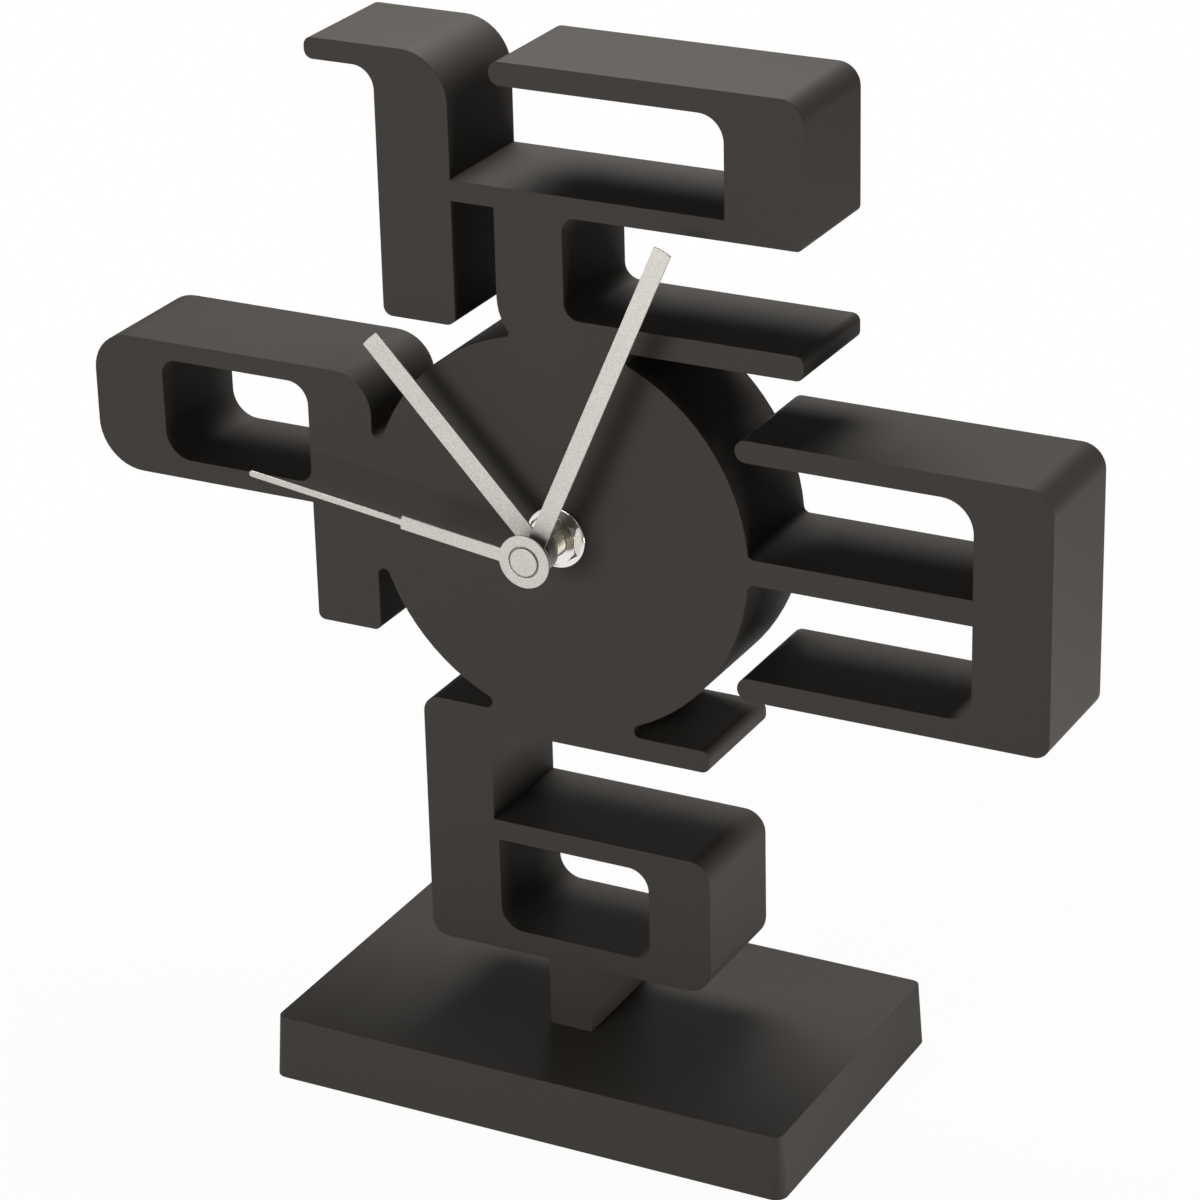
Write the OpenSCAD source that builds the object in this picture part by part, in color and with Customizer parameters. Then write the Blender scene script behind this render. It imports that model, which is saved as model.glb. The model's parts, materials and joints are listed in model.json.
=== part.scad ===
// Desk clock: a thick black profile of large numerals around a blank disc, on a
// drafted base, with a quartz movement and its whole wheel train behind the disc.
// Millimetres. Origin on the floor under the middle of the felt pad, +Z up, the dial
// faces -Y. Numeral sizes are read from the middle of the disc in the front view.

/* [Numeral frame] */
// Thickness of the whole numeral profile, front to back
frame_depth = 31.4; // [28:0.1:36]
// Radius of the blank disc in the middle
disc_radius = 50; // [46:0.5:54]
// Radius of the small relief where a numeral runs into the disc
notch_radius = 1.65; // [1:0.05:2.2]
// Width of the thick upright strokes
stroke = 19.4; // [17:0.1:21]
// Width of the stem under the 6
stem_width = 11.5; // [9.5:0.1:14]
// Free height of the stem between the 6 and the base
stem_length = 17.9; // [12:0.1:24]

/* [Numeral 12] */
// Height of the 12 above the top of the disc
twelve_rise = 65; // [60:0.5:72]
// Gap between the 1 and the upper left end of the 2
twelve_gap = 11.2; // [9:0.1:14]
// Left side of the 2's lower left stem, left of the clock axis
two_stem_left = 14.3; // [13:0.1:16]
// Width of the 2's lower left stem
two_stem_width = 17.7; // [16:0.1:20]
// Right side of the 2, right of the clock axis
two_right = 64.2; // [58:0.1:70]
// Thickness of the 2's top bar
two_top_bar = 5.8; // [4.6:0.1:7]
// Thickness of the bar through the middle of the 2 that also carries the 1
two_mid_bar = 5.15; // [4.4:0.05:7]
// Height of the middle bar's underside above the top of the disc
two_mid_rise = 29.85; // [27:0.05:33]
// Thickness of the 2's lowest bar
two_low_bar = 6.1; // [5:0.1:7.5]
// How far the 2's lowest bar sinks below the top of the disc
two_low_sink = 1; // [0.6:0.1:1.6]
// Corner radius at the foot of the 2's stem
two_foot_radius = 13.4; // [12:0.1:13.8]
// How far the foot of the 2's stem reaches below the top of the disc
two_foot_sink = 5.4; // [4.8:0.1:6]
// Radius of the relief between the 2's foot and the disc
foot_notch_radius = 1; // [0.7:0.05:1.3]
// How far the flag of the 1 reaches left of its stroke
one_flag = 18.35; // [15:0.05:22]
// Thickness of the flag of the 1
one_flag_bar = 5.3; // [4.4:0.1:7]
// Corner radius at the top right of the 1
one_top_radius = 12; // [9:0.5:15]
// Fillet under the flag of the 1
one_flag_fillet = 5.5; // [4:0.1:8]
// Corner radius at both corners of the foot of the 1
one_foot_radius = 2.4; // [1:0.1:4]

/* [Numeral 3] */
// Reach of the 3 beyond the right side of the disc
three_reach = 75.4; // [70:0.1:80]
// Top of the 3 above the clock axis
three_top = 32.5; // [29:0.1:36]
// Bottom of the 3 below the clock axis
three_bottom = 33.4; // [30:0.1:36]
// Thickness of the 3's top bar
three_top_bar = 5.6; // [4.6:0.1:7]
// Thickness of the 3's bottom bar
three_low_bar = 5.8; // [4.6:0.1:7]
// Thickness of the 3's middle bar
three_mid_bar = 6.5; // [5:0.1:8]
// Middle of the 3's middle bar, below the clock axis
three_mid_drop = 0.25; // [0:0.05:1]
// Free gap between the 3's bar ends and the upright line of the disc's side
three_setback = 3.3; // [0:0.1:4]
// Corner radius at the top right of the 3
three_top_radius = 6; // [4:0.5:9]
// Corner radius at the bottom right of the 3
three_low_radius = 4; // [3:0.5:8]
// Inner fillet at the top right of the 3
three_top_fillet = 8; // [5:0.5:10]
// Inner fillet at the bottom right of the 3
three_low_fillet = 6; // [4:0.5:9]

/* [Numeral 6] */
// Depth of the 6 below the bottom of the disc
six_drop = 65; // [60:0.5:72]
// Left side of the 6, left of the clock axis
six_left = 38.6; // [35:0.1:42]
// Width of the 6's left column beside its upper gap
six_column = 18.6; // [17:0.1:21]
// Width of the 6's left column beside its bowl
six_bowl_column = 19.9; // [17:0.1:21]
// Right side of the 6's bowl, right of the clock axis
six_right = 39; // [36:0.1:43]
// Reach of the 6's upper bar, right of the clock axis
six_top_reach = 39.4; // [36:0.1:43]
// How far the 6's upper bar sinks above the bottom of the disc
six_top_sink = 1.15; // [0.6:0.05:1.6]
// Thickness of the 6's upper bar
six_top_bar = 5.75; // [4.6:0.05:7]
// Height of the open gap between the 6's upper bar and its bowl
six_gap = 24.6; // [21:0.1:28]
// Thickness of the bowl's upper bar
six_bowl_bar = 5.4; // [4.6:0.1:7]
// Thickness of the 6's lowest bar
six_low_bar = 6; // [4.6:0.1:7.5]
// Width of the bowl's right wall
six_right_wall = 16.7; // [14:0.1:19]

/* [Numeral 9] */
// Reach of the 9 beyond the left side of the disc
nine_reach = 78.3; // [73:0.1:83]
// How far the 9's right wall sinks into the disc
nine_sink = 0.25; // [0.15:0.05:0.8]
// Top of the 9 above the clock axis
nine_top = 32.65; // [30:0.05:36]
// Bottom of the 9's bowl below the clock axis
nine_bowl_bottom = 2.9; // [2:0.1:5]
// Bottom of the 9's leg below the clock axis
nine_leg_bottom = 33.85; // [28:0.05:38]
// Width of the 9's leg and of the bowl's right wall
nine_leg = 17.6; // [15:0.1:20]
// Thickness of the 9's top bar
nine_top_bar = 4.7; // [4:0.1:6.5]
// Thickness of the 9's bowl bar
nine_bowl_bar = 5.1; // [4:0.1:6.5]
// Outer radius at the two upper corners of the 9
nine_top_radius = 10.1; // [7:0.1:12]
// Outer radius at the lower left corner of the 9
nine_low_radius = 12; // [8:0.1:13]

/* [Base] */
// Width of the base at its lower edge
base_width = 141.4; // [120:0.2:170]
// Depth of the base at its lower edge
base_depth = 86.4; // [70:0.2:100]
// Height of the base block
base_height = 16.8; // [13:0.1:20]
// How far each side of the base leans in over its height
base_draft = 1.1; // [0.5:0.1:2]
// Corner radius of the base at its lower edge
base_corner = 3.2; // [2.5:0.1:6]
// Depth of the slot in the base that takes the foot of the stem
slot_depth = 9; // [6:0.5:11]
// Gap around the foot of the stem in its slot
slot_gap = 0.15; // [0.05:0.05:0.3]
// Thickness of the felt pad
felt_thick = 1; // [0.8:0.1:2]
// How far the felt stands below the base
felt_proud = 0.5; // [0.3:0.1:0.7]
// Margin between the felt and the lower edge of the base
felt_margin = 4.2; // [3:0.1:8]
// Distance of each base screw from the middle, front to back
screw_offset = 8; // [6:0.5:10]
// Radius of the base screws' shank
screw_radius = 2; // [1.5:0.1:2.4]
// Radius of the base screws' countersunk head
screw_head_radius = 3.9; // [3.2:0.1:4.6]
// Length of the base screws
screw_length = 26; // [20:0.5:30]

/* [Hands] */
// Thickness of the hands
hand_thick = 0.5; // [0.4:0.05:0.7]
// Length of the hour hand's straight edges from the axis
hour_length = 63.7; // [50:0.1:80]
// Width of the hour hand
hour_width = 5.1; // [4:0.1:7]
// Radius of the hour hand's boss
hour_boss = 4.9; // [4.2:0.1:6]
// Turn of the hour hand as photographed, clockwise from the 12
hour_angle = -43.1; // [-180:0.05:180]
// Length of the minute hand's straight edges from the axis
minute_length = 88; // [70:0.5:100]
// Width of the minute hand
minute_width = 4.5; // [3:0.1:6]
// Radius of the minute hand's boss
minute_boss = 4.6; // [3.4:0.1:6]
// Turn of the minute hand as photographed, clockwise from the 12
minute_angle = 23.98; // [-180:0.05:180]
// Rise of the slightly rounded hand tips
tip_rise = 0.15; // [0.05:0.05:0.9]
// Length of the second hand from the axis
second_length = 75; // [60:0.5:90]
// Width of the second hand's outer part
second_thin = 1.5; // [1.2:0.1:3]
// Corner radius at the tip of the second hand
second_corner = 0.65; // [0.3:0.05:0.75]
// Width of the second hand's inner part
second_wide = 3.4; // [2.6:0.1:4.5]
// Distance from the axis to the step in the second hand
second_step = 33; // [25:0.5:45]
// Outer radius of the second hand's ring
second_ring = 6.6; // [6:0.1:8]
// Radius of the round cap in the ring
cap_radius = 3.9; // [3:0.05:4.6]
// Gap between the cap and the ring
cap_gap = 0.35; // [0.15:0.05:0.4]
// How far the cap stands in front of the second hand
cap_proud = 0.3; // [0.1:0.05:0.6]
// Turn of the second hand as photographed, clockwise from the 12
second_angle = -82.4; // [-180:0.05:180]
// Front of the hour hand before the front of the disc
hour_stand = 9.3; // [8.5:0.1:10.5]
// Front of the minute hand before the front of the hour hand
minute_stand = 3.9; // [2.6:0.1:5]
// Front of the second hand before the front of the minute hand
second_stand = 3.6; // [2.8:0.1:5]

/* [Fixing in the disc] */
// Thickness of the disc left in front of the movement
front_wall = 5.2; // [4:0.1:6.4]
// Side of the square pocket behind the disc
pocket_side = 60; // [58:0.5:62]
// Corner radius of the pocket
pocket_corner = 6; // [5:0.5:8]
// Radius of the round washer in front of the disc
washer_radius = 7.7; // [7.2:0.1:10]
// Thickness of that washer
washer_thick = 0.9; // [0.6:0.1:1.2]
// Width of the hexagon nut across its flats
nut_flats = 12; // [10:0.5:14]
// Thickness of the nut
nut_thick = 1.9; // [1.5:0.1:2.4]
// Radius of the threaded bush
bush_radius = 4; // [3.6:0.1:4.4]
// Gap between the end of the bush and the back of the hour hand
bush_clear = 0.8; // [0.4:0.1:2]
// Gap around the bush in the disc and in the washer
bush_gap = 0.2; // [0.1:0.05:0.4]
// Thickness of the rubber gasket between movement and disc
gasket_thick = 0.8; // [0.5:0.1:1.5]
// Outer radius of the rubber gasket
gasket_radius = 16; // [12:0.5:22]

/* [Movement] */
// Side of the square movement
case_side = 56; // [55.5:0.1:57]
// Corner radius of the movement
case_corner = 3; // [2:0.1:4]
// Wall of the movement's case
case_wall = 1.2; // [1:0.05:1.5]
// Thickness of the case's front
case_front = 1.5; // [1.3:0.1:2]
// Depth of the case without its cover
case_depth = 14.1; // [13.8:0.1:16]
// Thickness of the cover
cover_thick = 1.3; // [1:0.1:2]
// Thickness of the middle plate
plate_thick = 0.8; // [0.6:0.1:1]
// Radius of the case's four posts
post_radius = 2.2; // [2:0.1:2.4]
// Radius of the posts' thinner upper part
post_pin = 1.3; // [1.2:0.05:1.5]
// Length of the cover screws in their posts
cover_screw_length = 5; // [3.5:0.1:6]
// Radius of the cover screws' heads
cover_screw_head = 1.8; // [1.5:0.1:2]
// Height of the cover screws' heads
cover_screw_top = 0.9; // [0.7:0.1:1.2]
// Thickness of the circuit board
board_thick = 0.8; // [0.6:0.1:1]
// Radius of the drum of the setting knob
knob_radius = 5; // [4:0.1:6]
// Height of the setting knob behind the cover
knob_height = 5; // [3:0.1:7]
// Gap between the knob and the cover
knob_gap = 0.4; // [0.2:0.1:0.8]

/* [Wheel train] */
// Thickness of the wheels
wheel_thick = 0.8; // [0.6:0.05:0.85]
// Free gap between one wheel and the next
run_gap = 0.5; // [0.4:0.05:0.55]
// How much further than its wheel a pinion reaches at each end
pinion_over = 0.1; // [0.05:0.05:0.15]
// Radial play of the shafts in their bearings
bearing_play = 0.05; // [0.04:0.01:0.1]
// Radius of the thin pivots at the shaft ends
pivot_radius = 0.3; // [0.25:0.01:0.35]
// Radius of the wheels' shafts
shaft_radius = 0.5; // [0.45:0.01:0.55]
// Wall of the minute hand's pipe
minute_pipe_wall = 1.04; // [0.9:0.02:1.1]
// Wall of the hour hand's pipe
hour_pipe_wall = 0.89; // [0.75:0.02:0.9]
// Distance from the clock axis to the third wheel's shaft
third_distance = 9; // [8.8:0.05:9.2]
// Distance from the clock axis to the minute wheel's shaft
minute_distance = 10.2; // [10:0.05:10.4]
// Distance from the clock axis to the step wheel's shaft
step_distance = 7.92; // [7.8:0.02:8.1]
// Distance from the step wheel's shaft to the rotor
rotor_distance = 7; // [6.9:0.02:7.1]
// Radius of the setting stem
stem_radius = 1.2; // [1:0.05:1.3]

/* [Motor and battery] */
// Radius of the rotor's magnet
magnet_radius = 2.8; // [2.4:0.1:2.9]
// Height of the rotor's magnet
magnet_height = 1.8; // [1.4:0.1:2]
// Gap between the magnet and the stator
air_gap = 0.5; // [0.3:0.05:0.6]
// Thickness of the stator and of the coil's core
stator_thick = 0.8; // [0.6:0.05:0.9]
// Length of the coil between its flanges
coil_length = 18.4; // [16:0.2:19]
// Height of the coil's flanges
flange_height = 7.2; // [6.4:0.1:7.4]
// Radius of the round cell
cell_radius = 7.15; // [6.9:0.05:7.2]
// Length of the round cell with its nub
cell_length = 50.2; // [49:0.1:50.4]
// Gap between the cell's nub and its contact
contact_gap = 0.2; // [0.1:0.05:0.4]
// Thickness of the battery contacts
contact_thick = 0.4; // [0.3:0.05:0.5]

/* [Hidden] */
$fn = 64;

// Heights above the floor
base_top = felt_proud + base_height;
axis_z = base_top + stem_length + six_drop + disc_radius;

// Places in front view, from the clock axis
top_line = disc_radius + twelve_rise;
one_right = two_stem_left + twelve_gap;
one_left = one_right + stroke;
mid_low = disc_radius + two_mid_rise;
low_line = disc_radius - two_low_sink;
stem_right = two_stem_width - two_stem_left;
foot_z = disc_radius - two_foot_sink + two_foot_radius;
foot_x = two_foot_radius - two_stem_left;
three_right = disc_radius + three_reach;
three_bars = disc_radius - three_setback;
three_mid_top = three_mid_bar / 2 - three_mid_drop;
three_mid_low = three_mid_bar / 2 + three_mid_drop;
six_low = disc_radius + six_drop;
six_line = disc_radius - six_top_sink;
six_bowl_top = six_line + six_top_bar + six_gap;
nine_left = disc_radius + nine_reach;
nine_line = disc_radius - nine_sink;

// How far a relief circle cuts into the edges it meets, so that it crosses them
bite = 0.01;

// Places along the clock axis, front to back
front_y = -frame_depth / 2;
wall_y = front_y + front_wall;
case_y = wall_y + gasket_thick;
floor_y = case_y + case_front;
case_back = case_y + case_depth;
cover_back = case_back + cover_thick;
washer_y = front_y - washer_thick;
nut_y = washer_y - nut_thick;
hour_y = front_y - hour_stand;
bush_y = hour_y + hand_thick + bush_clear;
minute_y = hour_y - minute_stand;
second_y = minute_y - second_stand;
flange_thick = 0.35;
pipe_over = 0.25;
tip_corner = min(second_corner, second_thin / 2 - 0.05);

// Wheel layers behind the case's front: 0 hour wheel, 1 minute wheel, 2 centre wheel,
// 3 middle plate, 4 third wheel, 5 second wheel, 6 step wheel
function layer(n) = floor_y + run_gap + n * (wheel_thick + run_gap)
    + (n > 3 ? plate_thick - wheel_thick : 0);
boss_y = layer(6) + wheel_thick + 2 * run_gap;
end_shake = 0.3;
pivot_length = 1.2;

// Tooth numbers and modules, from the distances of the shafts
sec_pinion_teeth = 8;
third_teeth = 64;
third_pinion_teeth = 8;
centre_teeth = 60;
cannon_teeth = 12;
minute_teeth = 36;
minute_pinion_teeth = 10;
hour_teeth = 40;
second_teeth = 60;
step_pinion_teeth = 12;
step_teeth = 60;
rotor_teeth = 10;
m_third = 2 * third_distance / (sec_pinion_teeth + third_teeth);
m_centre = 2 * third_distance / (third_pinion_teeth + centre_teeth);
m_minute = 2 * minute_distance / (cannon_teeth + minute_teeth);
m_hour = 2 * minute_distance / (minute_pinion_teeth + hour_teeth);
m_second = 2 * step_distance / (step_pinion_teeth + second_teeth);
m_step = 2 * rotor_distance / (rotor_teeth + step_teeth);
step_dir = 60;
rotor_dir = 30;
third_at = [-third_distance, 0];
minute_at = [minute_distance, 0];
step_at = step_distance * [cos(step_dir), sin(step_dir)];
rotor_at = step_at + rotor_distance * [cos(rotor_dir), sin(rotor_dir)];

// Pipes inside one another
minute_bore = shaft_radius + bearing_play;
minute_pipe_radius = minute_bore + minute_pipe_wall;
hour_bore = minute_pipe_radius + bearing_play;
hour_pipe_radius = hour_bore + hour_pipe_wall;
bush_bore = hour_pipe_radius + 2 * bearing_play;
press = 0.01;

// Radius of the cover screws, driven into the posts' thinner part
cover_screw_radius = post_pin - 0.5;

// Inside of the case
inner = case_side / 2 - case_wall;
rib_thick = 1;
cell_gap = 0.3;
bay_top = -inner + 2 * cell_radius + 2 * cell_gap;
cell_z = -inner + cell_gap + cell_radius;
cell_y = floor_y + cell_gap + cell_radius;
cell_right = inner - contact_thick - contact_gap;
cell_left = cell_right - cell_length;
post_x = inner - 2.8;
post_top = inner - 3.2;
post_low = bay_top + rib_thick + post_radius + 0.2;
posts = [[-post_x, post_top], [post_x, post_top], [-post_x, post_low], [post_x, post_low]];
board_left = -inner + 0.8;
board_right = -6;
board_low = 11;
board_top = inner - 0.8;
board_y = case_back - 2.4;
stator_y = layer(5) - 0.6;
coil_y = stator_y + stator_thick + stator_thick / 2;
coil_z = inner - 1.7 - flange_height / 2;
coil_x = 8;
leg = 3.5;
leg_in = coil_length / 2 + 1.3;

// Front view helpers: children are drawn in x and z from the clock axis
module slab(y0, y1) {
    translate([0, y1, axis_z])
        rotate([90, 0, 0])
            linear_extrude(y1 - y0)
                children();
}

module rod(at, r, y0, y1) {
    translate([at[0], y1, axis_z + at[1]])
        rotate([90, 0, 0])
            cylinder(r = r, h = y1 - y0);
}

module rod_x(y, z, r, x0, x1) {
    translate([x0, y, axis_z + z])
        rotate([0, 90, 0])
            cylinder(r = r, h = x1 - x0);
}

// A block between two corners, z from the clock axis
module block(x0, x1, y0, y1, z0, z1) {
    translate([x0, y0, axis_z + z0])
        cube([x1 - x0, y1 - y0, z1 - z0]);
}

// A rectangle between two corners
module plate(x0, z0, x1, z1) {
    translate([x0, z0])
        square([x1 - x0, z1 - z0]);
}

// The curved triangle of a corner: taken off an outer corner, added to an inner one.
// sx and sz point from the corner to the middle of the arc.
module web(x, z, r, sx, sz) {
    over = 0.6;
    difference() {
        plate(min(x - sx * over, x + sx * r), min(z - sz * over, z + sz * r),
            max(x - sx * over, x + sx * r), max(z - sz * over, z + sz * r));
        translate([x + sx * r, z + sz * r])
            circle(r);
    }
}

// A level bar whose left end is fully round
module bar_round_left(x0, z0, x1, z1) {
    r = (z1 - z0) / 2;
    plate(x0 + r, z0, x1, z1);
    translate([x0 + r, z0 + r])
        circle(r);
}

// A rounded rectangle with its own radius at each corner
module panel(x0, z0, x1, z1, tl, tr, br, bl) {
    difference() {
        plate(x0, z0, x1, z1);
        if (tl > 0) web(x0, z1, tl, 1, -1);
        if (tr > 0) web(x1, z1, tr, -1, -1);
        if (br > 0) web(x1, z0, br, -1, 1);
        if (bl > 0) web(x0, z0, bl, 1, 1);
    }
}

// Fill between the disc and a straight edge that passes just over it: the edge lies at
// height h with its material above, and the relief is a circle that just bites into both
module relief_over(h) {
    n = notch_radius;
    reach = disc_radius + n - bite;
    cz = h - n + bite;
    c = [sqrt(reach * reach - cz * cz), cz];
    meet = [sqrt(disc_radius * disc_radius - h * h), h];
    difference() {
        polygon([
            c * (disc_radius - 1) / reach,
            meet * 0.97,
            meet + [-0.5, 0.5],
            [c[0], h + 0.5],
            c
        ]);
        translate(c)
            circle(n);
    }
}

// The same where a level bar leaves the disc: the bar lies below the line z = h
module relief_beside(h) {
    n = notch_radius;
    reach = disc_radius + n - bite;
    cz = h + n - bite;
    c = [sqrt(reach * reach - cz * cz), cz];
    difference() {
        polygon([
            c * (disc_radius - 1) / reach,
            [disc_radius - 1.5, h + 0.5],
            [disc_radius - 1.5, h - 0.5],
            [c[0], h - 0.5],
            c
        ]);
        translate(c)
            circle(n);
    }
}

// Fill between the disc and the round foot of the 2, with a circle that bites into both
module relief_foot() {
    n = foot_notch_radius;
    p = [foot_x, foot_z];
    d = norm(p);
    ra = disc_radius + n - bite;
    rb = two_foot_radius + n - bite;
    along = (ra * ra - rb * rb + d * d) / (2 * d);
    side = sqrt(ra * ra - along * along);
    dir = p / d;
    c = along * dir + side * [-dir[1], dir[0]];
    along0 = (disc_radius * disc_radius - two_foot_radius * two_foot_radius + d * d) / (2 * d);
    side0 = sqrt(disc_radius * disc_radius - along0 * along0);
    meet = along0 * dir + side0 * [-dir[1], dir[0]];
    difference() {
        polygon([c * (disc_radius - 1) / ra, meet + [0.6, 0], c + (p - c) * (n + 1) / rb, c]);
        translate(c)
            circle(n);
    }
}

module one_2d() {
    difference() {
        union() {
            plate(-one_left, low_line, -one_right, top_line);
            plate(-one_left - one_flag, top_line - one_flag_bar, -one_left + 1, top_line);
            web(-one_left, top_line - one_flag_bar, one_flag_fillet, -1, -1);
        }
        web(-one_right, top_line, one_top_radius, -1, -1);
        web(-one_right, low_line, one_foot_radius, -1, 1);
        web(-one_left, low_line, one_foot_radius, 1, 1);
        web(-one_left - one_flag, top_line, 2.2, 1, -1);
        web(-one_left - one_flag, top_line - one_flag_bar, 2.2, 1, 1);
    }
}

module two_2d() {
    top_in = top_line - two_top_bar;
    low_top = low_line + two_low_bar;
    difference() {
        union() {
            bar_round_left(-two_stem_left - 0.2, top_in, two_right, top_line);
            plate(two_right - stroke, mid_low, two_right, top_line);
            plate(-one_right - 1, mid_low, two_right, mid_low + two_mid_bar);
            plate(-two_stem_left, foot_z - two_foot_radius, stem_right, mid_low + 1);
            plate(stem_right - 1, low_line, two_right, low_top);
            web(two_right - stroke, top_in, 6.3, -1, -1);
            web(stem_right, mid_low, 3.5, 1, -1);
            web(stem_right, low_top, 4, 1, 1);
        }
        web(-two_stem_left, foot_z - two_foot_radius, two_foot_radius, 1, 1);
        web(two_right, top_line, 5.4, -1, -1);
        web(two_right, mid_low, 1.7, -1, 1);
        web(two_right, low_top, 1.9, -1, -1);
        web(two_right, low_line, 1.9, -1, 1);
    }
}

module three_2d() {
    in = three_right - stroke;
    difference() {
        union() {
            bar_round_left(three_bars, three_top - three_top_bar, three_right, three_top);
            bar_round_left(three_bars, -three_bottom, three_right,
                -three_bottom + three_low_bar);
            plate(in, -three_bottom, three_right, three_top);
            plate(disc_radius - 5, -three_mid_low, in + 1, three_mid_top);
            web(in, three_top - three_top_bar, three_top_fillet, -1, -1);
            web(in, -three_bottom + three_low_bar, three_low_fillet, -1, 1);
        }
        web(three_right, three_top, three_top_radius, -1, -1);
        web(three_right, -three_bottom, three_low_radius, -1, 1);
    }
}

module six_2d() {
    bowl_bar_z = -six_bowl_top - six_bowl_bar;
    difference() {
        union() {
            panel(-six_left, -six_low, six_right, -six_bowl_top, 0, 5.5, 7, 4.5);
            panel(-six_left, -six_low + 10, -six_left + six_column, -six_line, 4.5, 0, 0, 0);
            plate(-six_left + six_column - 1, -six_line - six_top_bar, six_top_reach, -six_line);
            web(-six_left + six_column, -six_line - six_top_bar, 5, 1, -1);
        }
        panel(-six_left + six_bowl_column, -six_low + six_low_bar,
            six_right - six_right_wall, bowl_bar_z, 0, 5.5, 4, 6);
        web(six_top_reach, -six_line, 2.3, -1, -1);
        web(six_top_reach, -six_line - six_top_bar, 2.3, -1, 1);
    }
}

module nine_2d() {
    difference() {
        union() {
            panel(-nine_left, -nine_bowl_bottom, -nine_line, nine_top,
                nine_top_radius, nine_top_radius, 0, nine_low_radius);
            panel(-nine_line - nine_leg, -nine_leg_bottom, -nine_line, 0, 0, 0, 1.8, 1.8);
        }
        panel(-nine_left + stroke + 0.2, -nine_bowl_bottom + nine_bowl_bar,
            -nine_line - nine_leg, nine_top - nine_top_bar, 4, 5.5, 3.5, 7);
    }
}

// One thickness of the numeral frame, front to back
module through() {
    slab(front_y, frame_depth / 2)
        children();
}

module frame_solid() {
    through() circle(disc_radius);
    through() one_2d();
    through() two_2d();
    through() three_2d();
    through() six_2d();
    through() nine_2d();
    through() plate(-stem_width / 2, base_top - slot_depth - axis_z, stem_width / 2,
        -six_low + 1);
    through() relief_over(low_line);
    through() relief_foot();
    through() relief_beside(three_mid_top);
    through() mirror([0, 1]) relief_beside(three_mid_low);
    through() mirror([0, 1]) relief_over(six_line);
    through() rotate(180) relief_over(six_line);
    through() rotate(90) relief_over(nine_line);
    through() rotate(90) mirror([1, 0]) relief_over(nine_line);
}

module numeral_frame() {
    color([0.12, 0.115, 0.11])
        difference() {
            frame_solid();
            slab(wall_y, frame_depth / 2 + 1)
                panel(-pocket_side / 2, -pocket_side / 2, pocket_side / 2, pocket_side / 2,
                    pocket_corner, pocket_corner, pocket_corner, pocket_corner);
            rod([0, 0], bush_radius + bush_gap, front_y - 1, wall_y + 1);
            for (s = [-1, 1])
                translate([0, s * screw_offset, base_top - slot_depth - 1])
                    cylinder(r = screw_radius + press, h = screw_length - slot_floor() + 3);
        }
}

// Height of the slot's floor above the recess for the felt
function slot_floor() = base_top - slot_depth - felt_thick;

module base_plate() {
    cx = base_width / 2 - base_corner;
    cy = base_depth / 2 - base_corner;
    color([0.13, 0.125, 0.12])
        difference() {
            translate([0, 0, felt_proud])
                union() {
                    translate([0, cy, 0])
                        rotate([90, 0, 0])
                            linear_extrude(2 * cy)
                                base_side(base_width / 2);
                    translate([-cx, 0, 0])
                        rotate([90, 0, 90])
                            linear_extrude(2 * cx)
                                base_side(base_depth / 2);
                    for (sx = [-1, 1])
                        for (sy = [-1, 1])
                            translate([sx * cx, sy * cy, 0])
                                cylinder(r1 = base_corner, r2 = base_corner - base_draft,
                                    h = base_height);
                }
            translate([-stem_width / 2 - slot_gap, front_y - slot_gap, base_top - slot_depth])
                cube([stem_width + 2 * slot_gap, frame_depth + 2 * slot_gap, slot_depth + 1]);
            translate([0, 0, -1])
                linear_extrude(felt_thick + 1)
                    felt_2d(0.3);
            for (s = [-1, 1])
                translate([0, s * screw_offset, 0]) {
                    cylinder(r = screw_radius + 0.15, h = base_top);
                    translate([0, 0, felt_thick])
                        cylinder(r1 = screw_head_radius + 0.15, r2 = screw_radius + 0.15,
                            h = head_height());
                }
        }
}

// Trapezium of one side of the base, half width given at its lower edge
module base_side(half) {
    polygon([[-half, 0], [half, 0], [half - base_draft, base_height],
        [-half + base_draft, base_height]]);
}

function head_height() = screw_head_radius - screw_radius;

module felt_2d(gap) {
    hx = base_width / 2 - felt_margin + gap;
    hy = base_depth / 2 - felt_margin + gap;
    panel(-hx, -hy, hx, hy, 2, 2, 2, 2);
}

module base_screws() {
    color([0.62, 0.6, 0.55])
        for (s = [-1, 1])
            translate([0, s * screw_offset, felt_thick])
                difference() {
                    union() {
                        cylinder(r = screw_radius, h = screw_length);
                        cylinder(r1 = screw_head_radius, r2 = screw_radius,
                            h = head_height());
                    }
                    for (a = [0, 90])
                        rotate(a)
                            translate([-screw_radius, -0.4, -1])
                                cube([2 * screw_radius, 0.8, 2.2]);
                }
}

module felt_pad() {
    color([0.2, 0.2, 0.2])
        linear_extrude(felt_thick)
            felt_2d(0);
}

module gasket() {
    color([0.15, 0.15, 0.15])
        difference() {
            rod([0, 0], gasket_radius, wall_y, case_y);
            rod([0, 0], bush_radius + 1.9, wall_y - 1, case_y + 1);
        }
}

module dial_washer() {
    color([0.8, 0.8, 0.82])
        difference() {
            rod([0, 0], washer_radius, washer_y, front_y);
            rod([0, 0], bush_radius + bush_gap, washer_y - 1, front_y + 1);
        }
}

module hex_nut() {
    corner = nut_flats / sqrt(3);
    color([0.75, 0.7, 0.6])
        difference() {
            intersection() {
                slab(nut_y, washer_y)
                    rotate(30)
                        circle(corner, $fn = 6);
                translate([0, washer_y + 1, axis_z])
                    rotate([90, 0, 0])
                        cylinder(r1 = corner + 1, r2 = nut_flats / 2 + 0.1, h = nut_thick + 1);
            }
            rod([0, 0], bush_radius + press, nut_y - 1, washer_y + 1);
        }
}

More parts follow.
